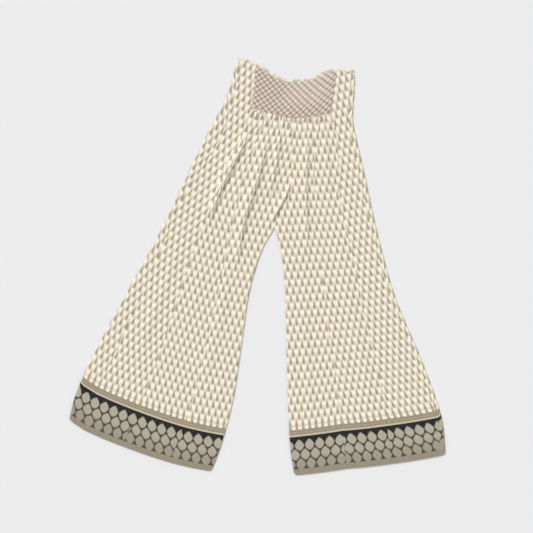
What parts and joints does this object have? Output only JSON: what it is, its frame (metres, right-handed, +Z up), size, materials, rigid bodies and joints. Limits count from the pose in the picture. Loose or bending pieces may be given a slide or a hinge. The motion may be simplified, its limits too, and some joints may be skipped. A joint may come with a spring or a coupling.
{
  "type": "flared trousers",
  "caption": "Wide flared gored trousers laid flat, with a smocked front yoke, a bound waist and a border print at each hem.",
  "frame": {"origin": "centre of the garment's box, on the surface that it lies on", "axes": "+Z up from the surface, towards the front of the garment; +Y from the hems to the waist; +X towards the wearer's left"},
  "size_m": [0.941, 1.045, 0.0075],
  "materials": {
    "printed_cotton": "soft matt woven cotton, printed",
    "smocked_cotton": "smocked matt cotton",
    "waist_binding": "matt cotton binding"
  },
  "bodies": {
    "root": {"waist_binding": "waist_binding", "front_yoke": "smocked_cotton", "right_front_outer_gore": "printed_cotton", "right_front_middle_gore": "printed_cotton", "right_front_inner_gore": "printed_cotton", "right_back_outer_gore": "printed_cotton", "right_back_middle_gore": "printed_cotton", "right_back_inner_gore": "printed_cotton", "left_front_outer_gore": "printed_cotton", "left_front_middle_gore": "printed_cotton", "left_front_inner_gore": "printed_cotton", "left_back_outer_gore": "printed_cotton", "left_back_middle_gore": "printed_cotton", "left_back_inner_gore": "printed_cotton"}
  },
  "joints": []
}
